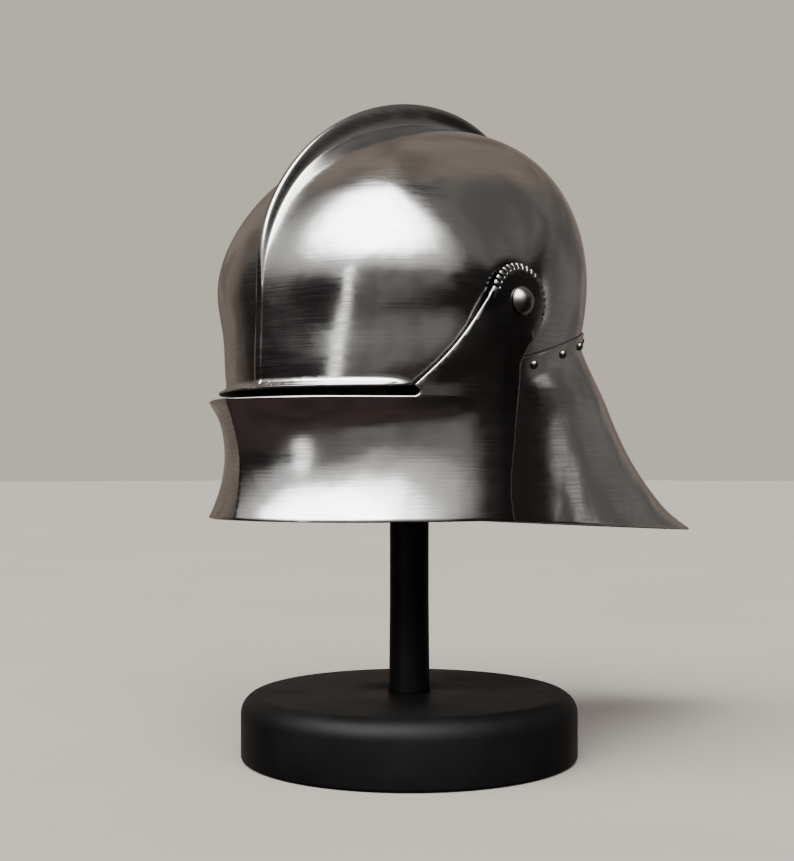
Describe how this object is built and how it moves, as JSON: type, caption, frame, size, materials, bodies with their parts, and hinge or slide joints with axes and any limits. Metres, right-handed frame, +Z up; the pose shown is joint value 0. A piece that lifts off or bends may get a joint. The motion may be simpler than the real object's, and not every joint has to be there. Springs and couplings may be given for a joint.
{
  "type": "sallet helmet on a display stand",
  "caption": "Late-medieval style sallet helmet with a medial comb, a pivoting keeled visor with a sight slit and a long flared tail plate, held on a plain round black stand.",
  "frame": {"origin": "centre of the stand's underside, on the surface it stands on", "axes": "+Z up; the helmet's front faces -Y; +X is the wearer's left"},
  "size_m": [0.2464, 0.4246, 0.4332],
  "materials": {
    "polished_steel": "hand-polished plate with fine brushing and soft hammer waves",
    "rivet_steel": "polished domed rivet heads, darker round their edges",
    "black_wood": "satin black paint on turned wood"
  },
  "bodies": {
    "root": {"stand_base": "black_wood", "stand_post": "black_wood", "skull": "polished_steel", "tail_plate": "polished_steel", "pivot_rivet_left": "rivet_steel", "pivot_washer_left": "rivet_steel", "pivot_rivet_right": "rivet_steel", "pivot_washer_right": "rivet_steel", "tail_rivet_left_1": "rivet_steel", "tail_rivet_left_2": "rivet_steel", "tail_rivet_left_3": "rivet_steel", "tail_rivet_left_4": "rivet_steel", "tail_rivet_left_5": "rivet_steel", "tail_rivet_nape": "rivet_steel", "tail_rivet_right_1": "rivet_steel", "tail_rivet_right_2": "rivet_steel", "tail_rivet_right_3": "rivet_steel", "tail_rivet_right_4": "rivet_steel", "tail_rivet_right_5": "rivet_steel"},
    "visor": {"visor": "polished_steel"}
  },
  "joints": [
    {"name": "visor_lift", "type": "hinge", "parent": "root", "child": "visor", "pos_m": [0, -0.0175, 0.2885], "axis": [-1, 0, 0], "range_deg": [0, 65]}
  ]
}
